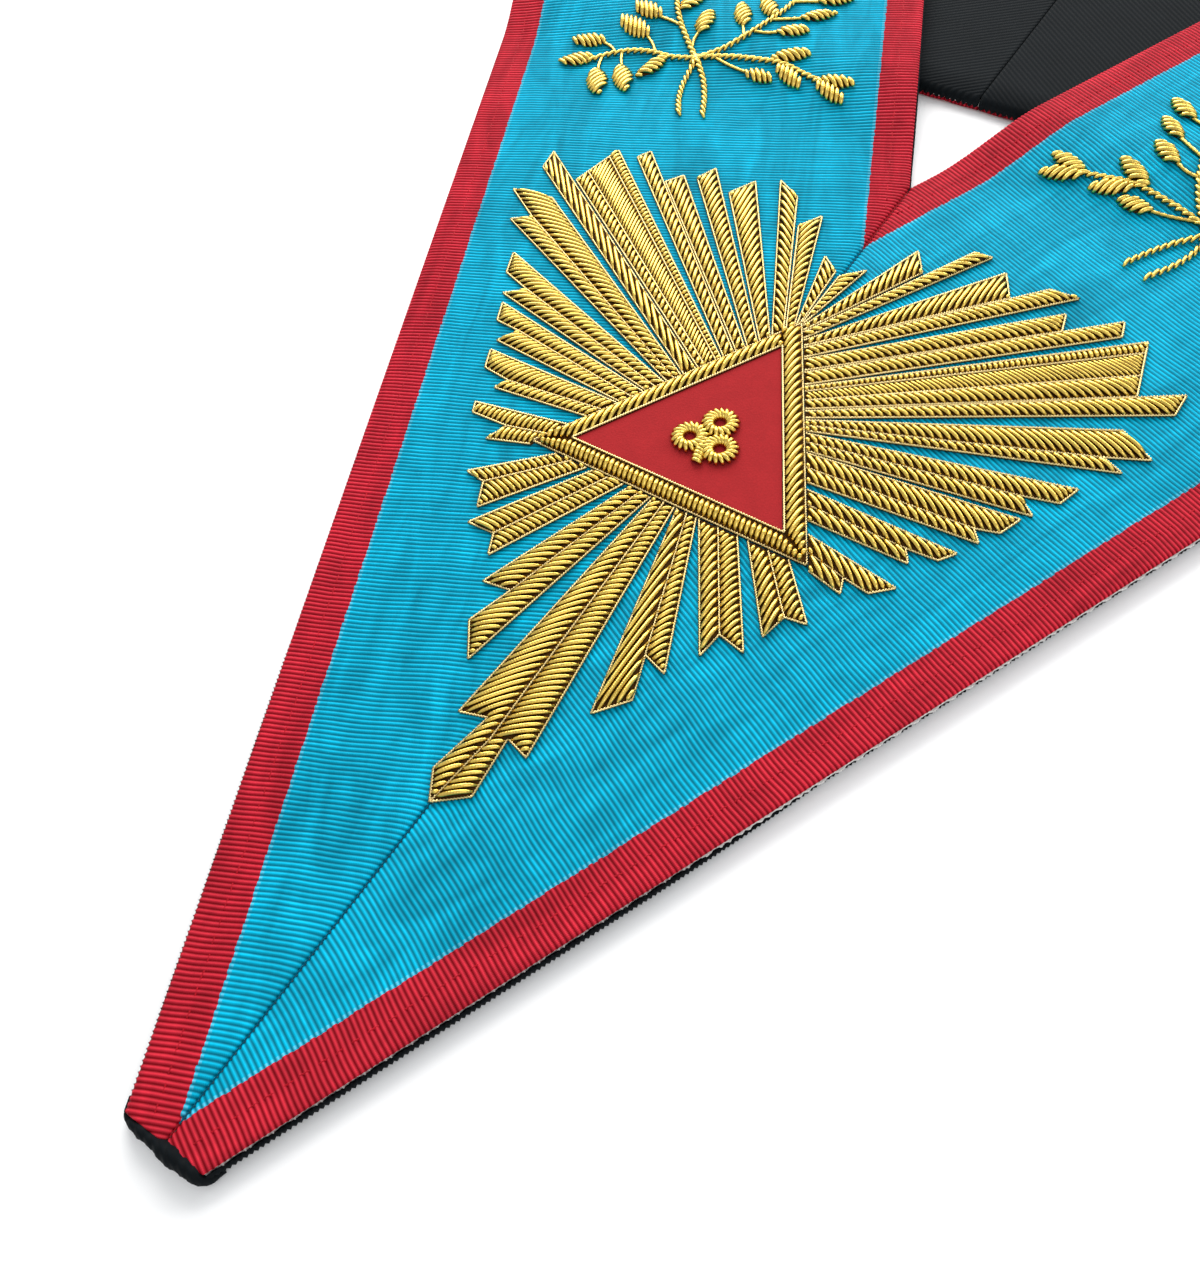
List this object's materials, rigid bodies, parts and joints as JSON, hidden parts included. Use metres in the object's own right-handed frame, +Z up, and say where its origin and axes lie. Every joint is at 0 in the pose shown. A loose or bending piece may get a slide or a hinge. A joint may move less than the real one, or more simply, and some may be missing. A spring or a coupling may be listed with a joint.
{
  "type": "regalia collar",
  "caption": "Embroidered V-shaped regalia collar of wide moire ribbon lying flat, with a gold ray-and-triangle motif, acacia sprigs and a black lining, its back part folded under.",
  "frame": {"origin": "middle of the bounding box on the table, z = 0 at the underside", "axes": "+Z up from the table, -Y towards the pointed tip, +X towards the right arm seen from above with the tip towards the viewer"},
  "size_m": [0.2558, 0.366, 0.0096],
  "materials": {
    "ribbon": "turquoise moire ribbon with red borders",
    "interlining": "white stiff cloth",
    "lining": "black ribbed cloth",
    "red_felt": "smooth red felt",
    "gold_wire": "gilt purl and twisted cord"
  },
  "bodies": {
    "root": {"face_ribbon_left": "ribbon", "interlining_left": "interlining", "lining_left": "lining", "sprig_left": "gold_wire", "face_ribbon_right": "ribbon", "interlining_right": "interlining", "lining_right": "lining", "sprig_right": "gold_wire", "triangle_field": "red_felt", "triangle_frame": "gold_wire", "trefoil": "gold_wire", "ray_left_1": "gold_wire", "ray_left_2": "gold_wire", "ray_left_3": "gold_wire", "ray_left_4": "gold_wire", "ray_left_5": "gold_wire", "ray_left_6": "gold_wire", "ray_left_7": "gold_wire", "ray_left_8": "gold_wire", "ray_left_9": "gold_wire", "ray_left_10": "gold_wire", "ray_left_11": "gold_wire", "ray_left_12": "gold_wire", "ray_left_13": "gold_wire", "ray_left_14": "gold_wire", "ray_left_15": "gold_wire", "ray_left_16": "gold_wire", "ray_left_17": "gold_wire", "ray_right_1": "gold_wire", "ray_right_2": "gold_wire", "ray_right_3": "gold_wire", "ray_right_4": "gold_wire", "ray_right_5": "gold_wire", "ray_right_6": "gold_wire", "ray_right_7": "gold_wire", "ray_right_8": "gold_wire", "ray_right_9": "gold_wire", "ray_right_10": "gold_wire", "ray_right_11": "gold_wire", "ray_right_12": "gold_wire", "ray_right_13": "gold_wire", "ray_right_14": "gold_wire", "ray_right_15": "gold_wire", "ray_right_16": "gold_wire", "ray_right_17": "gold_wire", "ray_bottom": "gold_wire"}
  },
  "joints": []
}
